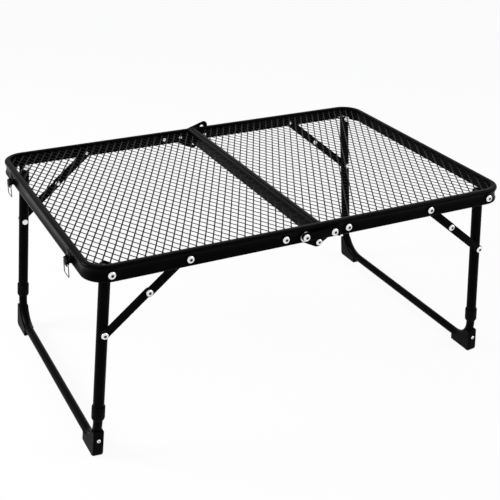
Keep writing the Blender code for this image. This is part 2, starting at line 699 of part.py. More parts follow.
def foot_mesh(name, facing, tilt):
    """A corner foot: a shoe round the outside of the tube's bend, which leaves the inside bare.

    It is drawn in the leg's plane and cut level with the floor.
    """
    half = THIN_RADIUS + FOOT_WALL
    rim = -U_RAIL_S + FOOT_RIM
    sleeve_top = -(PIVOT_Z - FOOT_SLEEVE_TOP) / math.cos(SPLAY)
    floor = -PIVOT_Z / math.cos(SPLAY)
    below = floor - 0.002
    inner_end = half - FOOT_LENGTH
    bend_centre = (-THIN_BEND, THIN_BEND - U_RAIL_S)
    rim_radius = THIN_BEND - FOOT_RIM
    rim_start = math.degrees(math.asin((sleeve_top - bend_centre[1]) / rim_radius))
    outline = [(half - FOOT_ROUND, below)]
    outline += arc((half - FOOT_ROUND, floor + FOOT_ROUND), FOOT_ROUND, -90, 0, 4)
    outline += [(half, sleeve_top)] + arc(bend_centre, rim_radius, rim_start, -90, 6)
    outline += [(inner_end, rim), (inner_end, below)]
    points = [(facing * (LEG_Y + y), z) for y, z in outline]
    mesh = plate_mesh(name, [points], FOOT_THICK)
    upright = Matrix.Rotation(math.radians(90), 4, "Z") @ Matrix.Rotation(math.radians(90), 4, "X")
    mesh.transform(tilt @ upright)
    bm = bmesh.new()
    bm.from_mesh(mesh)
    geom = bm.verts[:] + bm.edges[:] + bm.faces[:]
    cut = bmesh.ops.bisect_plane(bm, geom=geom, plane_co=(0, 0, 0), plane_no=(0, 0, -1),
                                 clear_outer=True)["geom_cut"]
    bmesh.ops.contextual_create(bm, geom=[g for g in cut if isinstance(g, bmesh.types.BMEdge)])
    return finish_mesh(bm, name)


def make_leg_set(parts, label, side, carrier):
    """One end's folding legs: two tubes with collars, the sliding U in them and its two feet."""
    frame = leg_frame(side)
    leg_axis = add_axis(parts, f"{label}_leg_axis", frame.translation, carrier)
    slide_axis = add_axis(parts, f"{label}_slide_axis", frame.translation, leg_axis)
    path = u_path()
    add_piece(parts, f"{label}_u_leg", tube_mesh(f"{label}_u_leg", path, THIN_RADIUS),
              parts.black_paint, slide_axis, frame, smooth=True)
    for face, facing in (("front", -1), ("back", 1)):
        make_leg_tube(parts, f"{label}_{face}_leg_tube", side, facing, leg_axis)
        make_collar(parts, f"{label}_{face}_collar", side, facing, leg_axis)
        make_brace_leg_rivet(parts, f"{label}_{face}_leg_rivet", side, facing, leg_axis)
        foot = add_piece(parts, f"{label}_{face}_foot", foot_mesh("foot", facing, frame),
                         parts.black_plastic, slide_axis)
        add_cutter(parts, foot, tube_mesh("foot_bore", path, THIN_RADIUS + GAP), matrix=frame)
        make_brace(parts, f"{label}_{face}", side, facing, carrier, leg_axis)


# Braces


def brace_lengths():
    """The upper and lower link lengths that are straight when the leg is down and flat when it is
    folded."""
    leg_rivet = Vector((PIVOT_X + BRACE_LEG_S * math.sin(SPLAY), -BRACE_LEG_S * math.cos(SPLAY)))
    straight = (leg_rivet - Vector((BRACE_RAIL_X, 0))).length
    folded = PIVOT_X - BRACE_LEG_S - BRACE_RAIL_X
    return (straight - folded) / 2, (straight + folded) / 2


def link_outline(length, width):
    return (arc((0, 0), width / 2, 90, 270, 8) + arc((length, 0), width / 2, -90, 90, 8))


def make_brace(parts, label, side, facing, carrier, leg_axis):
    """The two flat links of one brace. The rivet between them is part of the upper link."""
    upper, lower = brace_lengths()
    leg_frame_now = leg_frame(side)
    start = Vector((side * BRACE_RAIL_X, 0, PIVOT_Z))
    end = (leg_frame_now @ Matrix.Translation((0, 0, -BRACE_LEG_S))).translation
    slope = math.atan2(end.z - start.z, end.x - start.x)
    down = Matrix.Translation(start) @ Matrix.Rotation(-slope, 4, "Y")
    axis = add_axis(parts, f"{label}_upper_link_axis", start, carrier)
    mesh = plate_mesh(f"{label}_upper_link",
                      [link_outline(upper, UPPER_LINK_WIDTH), circle(0, 0, SMALL_HOLE)],
                      UPPER_LINK_Y[1] - UPPER_LINK_Y[0])
    link = add_piece(parts, f"{label}_upper_link", mesh, parts.black_paint, axis,
                     down @ upright_plate(facing, *UPPER_LINK_Y))
    low = UPPER_LINK_Y[1] - 0.0008
    head = domed_pin_profile([(low, low + HEAD_THICK + GAP, SMALL_HEAD_RADIUS)])
    at_joint = down @ Matrix.Translation((upper, 0, 0))
    turn = Matrix.Rotation(math.radians(90 if facing < 0 else -90), 4, "X")
    add_cutter(parts, link, turned_mesh("joint_rivet", head), "UNION", at_joint @ turn)
    up = Matrix.Translation(end) @ Matrix.Rotation(math.pi - slope, 4, "Y")
    lower_axis = add_axis(parts, f"{label}_lower_link_axis", end, leg_axis)
    mesh = plate_mesh(f"{label}_lower_link",
                      [link_outline(lower, LOWER_LINK_WIDTH), circle(0, 0, SMALL_HOLE),
                       circle(lower, 0, SMALL_HOLE)],
                      LOWER_LINK_Y[1] - LOWER_LINK_Y[0])
    add_piece(parts, f"{label}_lower_link", mesh, parts.black_paint, lower_axis,
              up @ upright_plate(facing, *LOWER_LINK_Y))


def main():
    clear_scene()
    parts = Parts()
    left_half = add_axis(parts, "left_half", (0, 0, HEIGHT))
    right_half = add_axis(parts, "right_half", (HINGE_X, 0, HEIGHT - HINGE_DROP), left_half)
    make_half(parts, "left", -1, left_half)
    make_half(parts, "right", 1, right_half)
    for face, facing, lift in (("front", -1, 0), ("back", 1, BACK_HOOK_LIFT)):
        make_hinge_pin(parts, f"{face}_hinge_pin", facing, left_half)
        make_hook_pivot(parts, f"{face}_hook_pivot", facing, left_half)
        make_lock_stud(parts, f"{face}_lock_stud", facing, right_half)
        make_lock_hook(parts, f"{face}_lock_hook", facing, lift, left_half)
        make_latch(parts, face, facing * LATCH_Y, left_half)
        make_catch(parts, f"{face}_catch", facing * LATCH_Y, right_half)
    make_leg_set(parts, "left", -1, left_half)
    make_leg_set(parts, "right", 1, right_half)


main()
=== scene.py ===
"""Looks of the folding camp table: smooth rails, the real mesh, tubes, braces, rivets and latches."""

import math

import bmesh
import bpy
from mathutils import Matrix, Vector


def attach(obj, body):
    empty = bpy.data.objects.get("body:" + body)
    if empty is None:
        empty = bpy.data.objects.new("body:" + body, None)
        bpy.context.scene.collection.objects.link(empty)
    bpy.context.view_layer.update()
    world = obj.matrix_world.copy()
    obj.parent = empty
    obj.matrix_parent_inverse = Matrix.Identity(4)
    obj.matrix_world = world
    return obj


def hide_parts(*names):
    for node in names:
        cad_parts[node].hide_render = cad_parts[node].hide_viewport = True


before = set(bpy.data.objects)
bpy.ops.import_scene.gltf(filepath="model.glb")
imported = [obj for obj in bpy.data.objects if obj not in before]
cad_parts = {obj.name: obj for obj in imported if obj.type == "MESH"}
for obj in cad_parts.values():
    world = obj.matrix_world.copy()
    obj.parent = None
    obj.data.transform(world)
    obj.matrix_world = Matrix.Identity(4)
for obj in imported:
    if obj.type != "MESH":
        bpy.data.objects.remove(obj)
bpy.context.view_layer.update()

LENGTH = 0.600
WIDTH = 0.400
HEIGHT = 0.274
GAP = 0.0003
RAIL_HEIGHT = 0.021
RAIL_FLANGE = 0.008
RAIL_SHEET = 0.0016
GROOVE = 0.0012
CORNER_RADIUS = 0.031
PIVOT_X = 0.2715
PIVOT_Z = 0.262
LEG_Y = 0.1757
SPLAY = math.radians(5.3)
TUBE_RADIUS = 0.0071
TUBE_BORE = 0.0063
TUBE_ABOVE = 0.004
TUBE_BELOW = 0.205
THIN_RADIUS = 0.0060
THIN_TOP = 0.095
THIN_BEND = 0.037
U_RAIL_HEIGHT = 0.012
BRACE_RAIL_X = 0.174
BRACE_LEG_S = 0.0863
UPPER_LINK_OUT = 0.1883
HINGE_X = 0.002
HINGE_Z = 0.250
HOOK_X = -0.0185
STUD_X = 0.0225
LOCK_Z = 0.2615
FIXING_X = 0.0455
HEAD_FROM = WIDTH / 2 - GAP
HEAD_RADIUS = 0.0048
HEAD_HEIGHT = 0.0022
SMALL_HEAD_RADIUS = 0.0046
WASHER_RADIUS = 0.0070
FACES = (("front", -1), ("back", 1))
ENDS = (("left", -1), ("right", 1))


# Camera and light


def add_camera():
    """The photograph's viewpoint, 1.4 m from the table at its front left, looking 26 degrees down."""
    turn, fall, roll = 0.47982, 0.46029, 0.02357
    ahead = Vector((math.sin(turn) * math.cos(fall), math.cos(turn) * math.cos(fall), -math.sin(fall)))
    level = ahead.cross(Vector((0, 0, 1))).normalized()
    upright = level.cross(ahead)
    right = level * math.cos(roll) + upright * math.sin(roll)
    up = upright * math.cos(roll) - level * math.sin(roll)
    data = bpy.data.cameras.new("camera")
    data.lens = 69.603
    data.sensor_width = 36
    data.shift_x = -0.001
    data.shift_y = 0.001
    data.clip_start = 0.05
    camera = bpy.data.objects.new("camera", data)
    bpy.context.scene.collection.objects.link(camera)
    turned = Matrix((right, up, -ahead)).transposed().to_4x4()
    camera.matrix_world = Matrix.Translation((-0.58081, -1.13363, 0.77963)) @ turned
    bpy.context.scene.camera = camera


def add_softbox(name, place, aim, size, power):
    data = bpy.data.lights.new(name, "AREA")
    data.shape = "RECTANGLE"
    data.size, data.size_y = size
    data.energy = power
    lamp = bpy.data.objects.new(name, data)
    bpy.context.scene.collection.objects.link(lamp)
    way = Vector(aim) - Vector(place)
    lamp.matrix_world = Matrix.Translation(place) @ way.to_track_quat("-Z", "Y").to_matrix().to_4x4()


def seen_directly(nodes, links, as_white, as_lit):
    """Shows one shader to the camera and to mirror and glass rays, and the other to the rest."""
    path = nodes.new("ShaderNodeLightPath")
    mix = nodes.new("ShaderNodeMixShader")
    seen = path.outputs["Is Camera Ray"]
    for ray in ("Is Glossy Ray", "Is Transmission Ray"):
        either = nodes.new("ShaderNodeMath")
        either.operation = "MAXIMUM"
        links.new(seen, either.inputs[0])
        links.new(path.outputs[ray], either.inputs[1])
        seen = either.outputs[0]
    links.new(seen, mix.inputs["Fac"])
    links.new(as_lit, mix.inputs[1])
    links.new(as_white, mix.inputs[2])
    return mix.outputs[0]


def light_world():
    world = bpy.data.worlds.new("studio")
    bpy.context.scene.world = world
    world.use_nodes = True
    nodes, links = world.node_tree.nodes, world.node_tree.links
    lit = nodes["Background"]
    lit.inputs["Color"].default_value = (0.9, 0.93, 1, 1)
    lit.inputs["Strength"].default_value = 0.45
    white = nodes.new("ShaderNodeBackground")
    white.inputs["Color"].default_value = (1, 1, 1, 1)
    out = seen_directly(nodes, links, white.outputs[0], lit.outputs[0])
    links.new(out, nodes["World Output"].inputs["Surface"])


def add_floor():
    bm = bmesh.new()
    bmesh.ops.create_grid(bm, x_segments=1, y_segments=1, size=6)
    mesh = bpy.data.meshes.new("floor")
    bm.to_mesh(mesh)
    bm.free()
    floor = bpy.data.objects.new("floor", mesh)
    bpy.context.scene.collection.objects.link(floor)
    material = bpy.data.materials.new("floor_white")
    material.use_nodes = True
    nodes, links = material.node_tree.nodes, material.node_tree.links
    lit = nodes["Principled BSDF"]
    lit.inputs["Base Color"].default_value = (0.86, 0.86, 0.86, 1)
    lit.inputs["Roughness"].default_value = 0.9
    lit.inputs["Specular IOR Level"].default_value = 0.0
    white = nodes.new("ShaderNodeEmission")
    white.inputs["Color"].default_value = (1, 1, 1, 1)
    seen = nodes.new("ShaderNodeMixShader")
    seen.inputs["Fac"].default_value = 0.93
    links.new(lit.outputs[0], seen.inputs[1])
    links.new(white.outputs[0], seen.inputs[2])
    out = seen_directly(nodes, links, seen.outputs[0], lit.outputs[0])
    links.new(out, nodes["Material Output"].inputs["Surface"])
    mesh.materials.append(material)


# Finishes


def finish(name, colour, roughness, metallic=0.0, specular=0.5):
    material = bpy.data.materials.new(name)
    material.use_nodes = True
    shader = material.node_tree.nodes["Principled BSDF"]
    shader.inputs["Base Color"].default_value = (*colour, 1)
    shader.inputs["Roughness"].default_value = roughness
    shader.inputs["Metallic"].default_value = metallic
    shader.inputs["Specular IOR Level"].default_value = specular
    return material


def noise(material, scale, detail=2.0):
    """A noise on the piece's own coordinates, which are metres from the table's origin."""
    nodes, links = material.node_tree.nodes, material.node_tree.links
    place = nodes.new("ShaderNodeTexCoord")
    texture = nodes.new("ShaderNodeTexNoise")
    texture.inputs["Scale"].default_value = scale
    texture.inputs["Detail"].default_value = detail
    links.new(place.outputs["Object"], texture.inputs["Vector"])
    return texture.outputs["Fac"]


def spread(material, source, low, high):
    """Maps a noise from its middle range to two values."""
    nodes, links = material.node_tree.nodes, material.node_tree.links
    ramp = nodes.new("ShaderNodeMapRange")
    ramp.inputs["From Min"].default_value = 0.3
    ramp.inputs["From Max"].default_value = 0.7
    ramp.inputs["To Min"].default_value = low
    ramp.inputs["To Max"].default_value = high
    links.new(source, ramp.inputs["Value"])
    return ramp.outputs["Result"]


def shade_by(material, source, dark, pale):
    """Blends the base colour between two tones by a value from 0 to 1."""
    nodes, links = material.node_tree.nodes, material.node_tree.links
    mix = nodes.new("ShaderNodeMix")
    mix.data_type = "RGBA"
    mix.inputs["A"].default_value = (*dark, 1)
    mix.inputs["B"].default_value = (*pale, 1)
    links.new(source, mix.inputs["Factor"])
    links.new(mix.outputs["Result"], nodes["Principled BSDF"].inputs["Base Color"])


def grain(material, source, height):
    """Raises the surface by a noise, with its depth in metres."""
    nodes, links = material.node_tree.nodes, material.node_tree.links
    bump = nodes.new("ShaderNodeBump")
    bump.inputs["Distance"].default_value = height
    links.new(source, bump.inputs["Height"])
    links.new(bump.outputs["Normal"], nodes["Principled BSDF"].inputs["Normal"])


def black_coating(name, roughness, peel, specular):
    """Baked black paint: nearly black, with orange peel and a little unevenness in its gloss."""
    material = finish(name, (0.002, 0.002, 0.002), roughness, specular=specular)
    links = material.node_tree.links
    shader = material.node_tree.nodes["Principled BSDF"]
    patches = noise(material, 35, 4)
    links.new(spread(material, patches, roughness - 0.05, roughness + 0.07), shader.inputs["Roughness"])
    shade_by(material, spread(material, patches, 0, 1), (0.0008, 0.0008, 0.0009), (0.0020, 0.0020, 0.0021))
    grain(material, noise(material, 900, 2), peel)
    return material


def moulded_plastic():
    """Black nylon with the fine spark-eroded grain of its mould."""
    material = finish("moulded_plastic", (0.002, 0.002, 0.002), 0.5, specular=0.025)
    links = material.node_tree.links
    shader = material.node_tree.nodes["Principled BSDF"]
    patches = noise(material, 60, 3)
    links.new(spread(material, patches, 0.44, 0.58), shader.inputs["Roughness"])
    shade_by(material, spread(material, patches, 0, 1), (0.0010, 0.0010, 0.0011), (0.0024, 0.0024, 0.0025))
    grain(material, noise(material, 2600, 3), 0.00005)
    return material


def paint_recess_shade(material):
    """Darkens the dimple in each rivet's crown with painted shade in its hollow."""
    nodes, links = material.node_tree.nodes, material.node_tree.links
    recess = nodes.new("ShaderNodeAttribute")
    recess.attribute_name = "recess"
    mix = nodes.new("ShaderNodeMix")
    mix.data_type = "RGBA"
    # painted shade: dark grey mixed into the plate's colour inside the dimple
    mix.inputs["B"].default_value = (0.03, 0.03, 0.03, 1)
    colour = nodes["Principled BSDF"].inputs["Base Color"]
    links.new(recess.outputs["Fac"], mix.inputs["Factor"])
    links.new(colour.links[0].from_socket, mix.inputs["A"])
    links.new(mix.outputs["Result"], colour)


def plated_steel():
    """Bright nickel plate with faint handling marks."""
    material = finish("plated_steel_bright", (0.80, 0.80, 0.79), 0.16, metallic=1.0)
    links = material.node_tree.links
    shader = material.node_tree.nodes["Principled BSDF"]
    marks = noise(material, 500, 4)
    links.new(spread(material, marks, 0.10, 0.26), shader.inputs["Roughness"])
    shade_by(material, spread(material, marks, 0, 1), (0.70, 0.70, 0.69), (0.88, 0.88, 0.87))
    # painted shade in the rivet dimples
    paint_recess_shade(material)
    grain(material, noise(material, 1400, 2), 0.00003)
    return material


def bare_wire():
    """Dull grey spring wire, darker where it has been handled."""
    material = finish("spring_wire_dull", (0.16, 0.16, 0.16), 0.42, metallic=1.0)
    links = material.node_tree.links
    shader = material.node_tree.nodes["Principled BSDF"]
    marks = noise(material, 700, 3)
    links.new(spread(material, marks, 0.34, 0.52), shader.inputs["Roughness"])
    shade_by(material, spread(material, marks, 0, 1), (0.10, 0.10, 0.10), (0.22, 0.22, 0.22))
    grain(material, noise(material, 2200, 2), 0.00002)
    return material


PAINT = black_coating("black_coating_satin", 0.24, 0.00003, 0.017)
MESH_COAT = black_coating("black_coating_mesh", 0.40, 0.00003, 0.03)
PLASTIC = moulded_plastic()
STEEL = plated_steel()
WIRE = bare_wire()


# Making pieces


def add_piece(name, bm, material, body, replaces=(), sharp=35):
    """Turns a bmesh into a piece with its faces pointing out, and rides it on its body."""
    bmesh.ops.remove_doubles(bm, verts=bm.verts, dist=1e-6)
    bmesh.ops.recalc_face_normals(bm, faces=bm.faces)
    mesh = bpy.data.meshes.new(name)
    bm.to_mesh(mesh)
    bm.free()
    mesh.shade_smooth()
    mesh.set_sharp_from_angle(angle=math.radians(sharp))
    mesh.materials.append(material)
    piece = bpy.data.objects.new(name, mesh)
    bpy.context.scene.collection.objects.link(piece)
    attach(piece, body)
    if replaces:
        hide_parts(*replaces)
    return piece


def turned(bm, profile, place, sides=32, recess=0):
    """Turns a profile of (radius, height) points round the local Z axis of a place.

    The last points, as many as recess says, are marked as the dimple of a rivet head, where the plated
    finish paints shade.
    """
    mark = bm.verts.layers.float.get("recess") or bm.verts.layers.float.new("recess")
    verts = [bm.verts.new(place @ Vector((radius, 0, height))) for radius, height in profile]
    for vert in verts[len(verts) - recess:]:
        vert[mark] = 1
    edges = [bm.edges.new(pair) for pair in zip(verts, verts[1:])]
    if profile[0][0] > 0:
        edges.append(bm.edges.new((verts[-1], verts[0])))
    bmesh.ops.spin(bm, geom=verts + edges, cent=place.translation, axis=place.col[2].xyz,
                   dvec=(0, 0, 0), angle=2 * math.pi, steps=sides, use_merge=True, use_duplicate=False)


def facing_out(x, z, side):
    """A place whose local Z points straight out of the front or back rail."""
    return Matrix.Translation((x, 0, z)) @ Matrix.Rotation(math.radians(-90 * side), 4, "X")


def arc(centre, radius, start, end, steps):
    points = []
    for i in range(steps + 1):
        angle = math.radians(start + (end - start) * i / steps)
        points.append((centre[0] + radius * math.cos(angle), centre[1] + radius * math.sin(angle)))
    return points


def softened(node, material, body, width, segments=2, angle=25, level=None, rounds=None, merge=1e-6):
    """A finer copy of a CAD node: its loose triangles are merged and its edges rounded.

    A level cuts away what stands further out than that from the table's centre line. A test named
    rounds picks the corners between which edges are rounded. Corners closer than merge become one.
    """
    bm = bmesh.new()
    bm.from_mesh(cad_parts[node].data)
    bmesh.ops.remove_doubles(bm, verts=bm.verts, dist=merge)
    if level:
        facing = math.copysign(1, bm.verts[:][0].co.y)
        geom = bm.verts[:] + bm.edges[:] + bm.faces[:]
        cut = bmesh.ops.bisect_plane(bm, geom=geom, plane_co=(0, facing * level, 0),
                                     plane_no=(0, facing, 0), clear_outer=True)["geom_cut"]
        bmesh.ops.contextual_create(bm, geom=[g for g in cut if isinstance(g, bmesh.types.BMEdge)])
    bmesh.ops.dissolve_limit(bm, angle_limit=math.radians(2), verts=bm.verts, edges=bm.edges)
    turn = math.radians(angle)
    edges = [e for e in bm.edges if e.is_manifold and e.calc_face_angle(0) > turn
             and (rounds is None or all(rounds(v.co) for v in e.verts))]
    bmesh.ops.bevel(bm, geom=edges, offset=width, offset_type="OFFSET", segments=segments, profile=0.5,
                    affect="EDGES", clamp_overlap=True, material=-1)
    add_piece(node + "_finished", bm, material, body, [node])


# Top


def rail_section():
    """The rolled rail's section as (inset, drop): top flange, hollow groove, lower curl and wall."""
    wall = GROOVE + RAIL_SHEET
    depth, top, height, steps = 0.0017, 0.0038, 0.0138, 16
    section = arc((0.0028, -0.0028), 0.0028, 90, 180, 7)
    for step in range(steps + 1):
        share = step / steps
        section.append((depth * (1 - (2 * share - 1) ** 2), -top - height * share))
    section += arc((0.0017, -0.0193), 0.0017, 180, 340, 9)
    section += [(wall, -0.0180), (wall, -0.0030)]
    section += arc((wall + 0.0014, -0.0030), 0.0014, 180, 90, 4)
    section += [(RAIL_FLANGE - 0.0006, -RAIL_SHEET)]
    section += arc((RAIL_FLANGE - 0.0007, -0.0008), 0.0008, -80, 80, 5)
    return section


def drawn(bm, edges, offset):
    """Draws a loop of edges straight and returns the loop at its far end."""
    made = bmesh.ops.extrude_edge_only(bm, edges=edges)["geom"]
    verts = [g for g in made if isinstance(g, bmesh.types.BMVert)]
    bmesh.ops.translate(bm, verts=verts, vec=offset)
    return [g for g in made if isinstance(g, bmesh.types.BMEdge) and all(v in verts for v in g.verts)]


def bent(bm, edges, centre, angle, steps=18):
    """Draws a loop of edges round a vertical axis and returns the loop at its far end."""
    verts = list({v for e in edges for v in e.verts})
    made = bmesh.ops.spin(bm, geom=verts + edges, cent=centre, axis=(0, 0, 1), dvec=(0, 0, 0),
                          angle=angle, steps=steps, use_duplicate=False)["geom_last"]
    return [g for g in made if isinstance(g, bmesh.types.BMEdge)]


def add_rail(label, side):
    bm = bmesh.new()
    start = side * GAP / 2
    verts = [bm.verts.new((start, -WIDTH / 2 + inset, HEIGHT + drop)) for inset, drop in rail_section()]
    loop = [bm.edges.new(pair) for pair in zip(verts, verts[1:] + verts[:1])]
    bmesh.ops.contextual_create(bm, geom=loop)
    straight = LENGTH / 2 - CORNER_RADIUS
    across = WIDTH / 2 - CORNER_RADIUS
    turn = math.radians(90) * side
    loop = drawn(bm, loop, (side * straight - start, 0, 0))
    loop = bent(bm, loop, (side * straight, -across, 0), turn)
    loop = drawn(bm, loop, (0, 2 * across, 0))
    loop = bent(bm, loop, (side * straight, across, 0), turn)
    loop = drawn(bm, loop, (start - side * straight, 0, 0))
    bmesh.ops.contextual_create(bm, geom=loop)
    add_piece(f"{label}_rail_finished", bm, PAINT, f"{label}_half", [f"{label}_rail"])


def cut_outside(bm, point, outward):
    geom = bm.verts[:] + bm.edges[:] + bm.faces[:]
    bmesh.ops.bisect_plane(bm, geom=geom, plane_co=point, plane_no=outward, clear_outer=True)


def trim_net(bm, side):
    """Trims a sheet to the space under the rail's flange and beside the centre bar."""
    inset = RAIL_FLANGE - 0.0035
    cut_outside(bm, (0, -WIDTH / 2 + inset, 0), (0, -1, 0))
    cut_outside(bm, (0, WIDTH / 2 - inset, 0), (0, 1, 0))
    cut_outside(bm, (side * (LENGTH / 2 - inset), 0, 0), (side, 0, 0))
    cut_outside(bm, (side * 0.0023, 0, 0), (-side, 0, 0))
    radius = CORNER_RADIUS - inset
    for corner in (-1, 1):
        centre = Vector((side * (LENGTH / 2 - CORNER_RADIUS), corner * (WIDTH / 2 - CORNER_RADIUS), 0))
        for angle in (22.5, 45, 67.5):
            way = Vector((side * math.cos(math.radians(angle)), corner * math.sin(math.radians(angle)), 0))
            cut_outside(bm, centre + way * radius, way)


def add_net(label, side):
    """Expanded steel sheet: diamonds of 10.8 x 20.7 mm between strands that all lean one way."""
    cell_x, cell_y, cells = 0.0108, 0.0207, 48
    strand, sheet, lean = 0.0015, 0.0008, 0.0004
    beside_tip, tip_cut, lean_within, smallest = 0.0012, 0.0019, 0.0004, 1e-6
    bm = bmesh.new()
    opening = bm.faces.layers.int.new("opening")
    bmesh.ops.create_grid(bm, x_segments=cells, y_segments=cells, size=cells / 2)
    turn = Matrix.Rotation(math.radians(45), 4, "Z")
    stretch = Matrix.Diagonal((cell_x / math.sqrt(2), cell_y / math.sqrt(2), 1, 1))
    middle = Matrix.Translation((side * LENGTH / 4, 0, HEIGHT - RAIL_SHEET - lean))
    bmesh.ops.transform(bm, matrix=middle @ stretch @ turn, verts=bm.verts)
    trim_net(bm, side)
    holes = [f for f in bm.faces if 2 * f.calc_area() / f.calc_perimeter() > strand]
    bmesh.ops.inset_individual(bm, faces=holes, thickness=strand / 2, use_even_offset=True)
    for hole in holes:
        hole[opening] = 1
    tips = [v for f in holes for v in f.verts if abs(v.co.x - f.calc_center_median().x) < beside_tip]
    bmesh.ops.bevel(bm, geom=tips, offset=tip_cut, offset_type="OFFSET", segments=1, profile=0.5,
                    affect="VERTICES", clamp_overlap=True, material=-1)
    holes = [f for f in bm.faces if f[opening] and f.calc_area() > smallest]
    for hole in holes:
        middle_x = hole.calc_center_median().x
        for vert in hole.verts:
            vert.co.z += lean * max(-1, min(1, (vert.co.x - middle_x) / lean_within))
    bmesh.ops.delete(bm, geom=holes, context="FACES")
    face = bmesh.ops.extrude_face_region(bm, geom=bm.faces[:])["geom"]
    lower = [g for g in face if isinstance(g, bmesh.types.BMVert)]
    bmesh.ops.translate(bm, verts=lower, vec=(0, 0, -sheet))
    add_piece(f"{label}_expanded_mesh", bm, MESH_COAT, f"{label}_half", [f"{label}_mesh_top"])


def add_bar(label, side):
    """The rolled angle that closes a half: a narrow flange, a rounded bend and a wall."""
    near = side * GAP / 2
    bend = 0.0014
    outline = [(near + side * RAIL_SHEET, -RAIL_HEIGHT), (near, -RAIL_HEIGHT)]
    outline += [(near + side * (bend + x), z) for x, z in arc((0, -bend), bend, 180, 90, 5)]
    outline += [(side * 0.0062, 0), (side * 0.0068, -0.0004), (side * 0.0068, -0.0012)]
    outline += [(side * 0.0062, -RAIL_SHEET), (near + side * RAIL_SHEET, -RAIL_SHEET)]
    bm = bmesh.new()
    end = WIDTH / 2 - RAIL_FLANGE - GAP
    verts = [bm.verts.new((x, -end, HEIGHT + z)) for x, z in outline]
    loop = [bm.edges.new(pair) for pair in zip(verts, verts[1:] + verts[:1])]
    bmesh.ops.contextual_create(bm, geom=loop)
    loop = drawn(bm, loop, (0, 2 * end, 0))
    bmesh.ops.contextual_create(bm, geom=loop)
    add_piece(f"{label}_bar_finished", bm, PAINT, f"{label}_half", [f"{label}_centre_bar"])


# Rivets, bolts and pins


def shank(steps):
    """A plain stepped shank from [(from, to, radius), ...]."""
    points = [(0, steps[0][0])]
    for low, high, radius in steps:
        points += [(radius, low), (radius, high)]
    return points


def rivet(bm, place, steps, radius=HEAD_RADIUS, height=HEAD_HEIGHT):
    """A stepped shank with a domed head on its outer end, which has a dimple set in its crown."""
    base = steps[-1][1]
    crown = [(0.97, 0), (1, 0.25), (0.95, 0.52), (0.80, 0.80), (0.60, 0.96), (0.46, 1), (0.36, 0.95),
             (0.27, 0.75), (0.15, 0.62), (0, 0.60)]
    profile = shank(steps) + [(radius * out, base + height * up) for out, up in crown]
    turned(bm, profile, place, recess=4)


def add_leg_bolt(label, face, side, facing):
    tube_out = LEG_Y + TUBE_RADIUS + GAP
    tube_in = LEG_Y - TUBE_RADIUS - GAP
    place = facing_out(side * PIVOT_X, PIVOT_Z, facing)
    bm = bmesh.new()
    rivet(bm, place, [(tube_in - 0.0030, tube_out, 0.0024), (tube_out, 0.1958, 0.0038),
                      (0.1958, HEAD_FROM, 0.0024)])
    nut = Matrix.Translation((0, 0, tube_in - 0.0013))
    bmesh.ops.create_cone(bm, cap_ends=True, segments=6, radius1=0.0043, radius2=0.0043, depth=0.0024,
                          matrix=place @ nut)
    name = f"{label}_{face}_leg_bolt"
    add_piece(name + "_finished", bm, STEEL, f"{label}_half", [name])


def add_brace_rivet(label, face, side, facing):
    bm = bmesh.new()
    rivet(bm, facing_out(side * BRACE_RAIL_X, PIVOT_Z, facing),
          [(0.1860, 0.1886, 0.0022), (0.1886, 0.1969, 0.0036), (0.1969, HEAD_FROM, 0.0025)])
    name = f"{label}_{face}_brace_rivet"
    add_piece(name + "_finished", bm, STEEL, f"{label}_half", [name])


def add_fixing_rivet(label, face, side, facing):
    """The second rivet of each hinge plate, which only fastens it to the rail."""
    bm = bmesh.new()
    rivet(bm, facing_out(side * FIXING_X, PIVOT_Z, facing), [(0.1945, HEAD_FROM, 0.0025)])
    add_piece(f"{label}_{face}_fixing_rivet", bm, STEEL, f"{label}_half")


def add_centre_pins(face, facing):
    reach = WIDTH / 2 + GAP
    bm = bmesh.new()
    rivet(bm, facing_out(HINGE_X, HINGE_Z, facing), [(0.1922, reach, 0.0025)], 0.0042, 0.0018)
    add_piece(f"{face}_hinge_pin_finished", bm, STEEL, "left_half", [f"{face}_hinge_pin"])
    bm = bmesh.new()
    rivet(bm, facing_out(HOOK_X, LOCK_Z, facing),
          [(0.1946, reach, 0.0025), (reach, 0.2013, WASHER_RADIUS), (0.2013, 0.2039, 0.0025)])
    add_piece(f"{face}_hook_pivot_finished", bm, STEEL, "left_half", [f"{face}_hook_pivot"])
    bm = bmesh.new()
    rivet(bm, facing_out(STUD_X, LOCK_Z, facing), [(0.1925, 0.2039, 0.0025)])
    add_piece(f"{face}_lock_stud_finished", bm, STEEL, "right_half", [f"{face}_lock_stud"])


# Legs


def leg_place(side):
    return Matrix.Translation((side * PIVOT_X, 0, PIVOT_Z)) @ Matrix.Rotation(-side * SPLAY, 4, "Y")


def add_leg_tube(label, face, side, facing):
    place = leg_place(side) @ Matrix.Translation((0, facing * LEG_Y, 0))
    edge = 0.0003
    low, high = -TUBE_BELOW, TUBE_ABOVE
    profile = [(TUBE_BORE, low), (TUBE_RADIUS - edge, low), (TUBE_RADIUS, low + edge),
               (TUBE_RADIUS, high - edge), (TUBE_RADIUS - edge, high), (TUBE_BORE, high)]
    bm = bmesh.new()
    turned(bm, profile, place, 40)
    name = f"{label}_{face}_leg_tube"
    add_piece(name + "_finished", bm, PAINT, f"{label}_legs", [name])


def add_collar(label, face, side, facing):
    place = leg_place(side) @ Matrix.Translation((0, facing * LEG_Y, 0))
    around, guide = TUBE_RADIUS + GAP, THIN_RADIUS + GAP
    profile = [(around, -0.1903), (0.0079, -0.1903), (0.0083, -0.1907), (0.0085, -0.1915),
               (0.0085, -0.2068), (0.0083, -0.2078), (0.0072, -0.2100), (0.0069, -0.2104),
               (guide, -0.2104), (guide, -0.2056), (around, -0.2056)]
    bm = bmesh.new()
    turned(bm, profile, place, 40)
    name = f"{label}_{face}_collar"
    add_piece(name + "_finished", bm, PLASTIC, f"{label}_legs", [name])


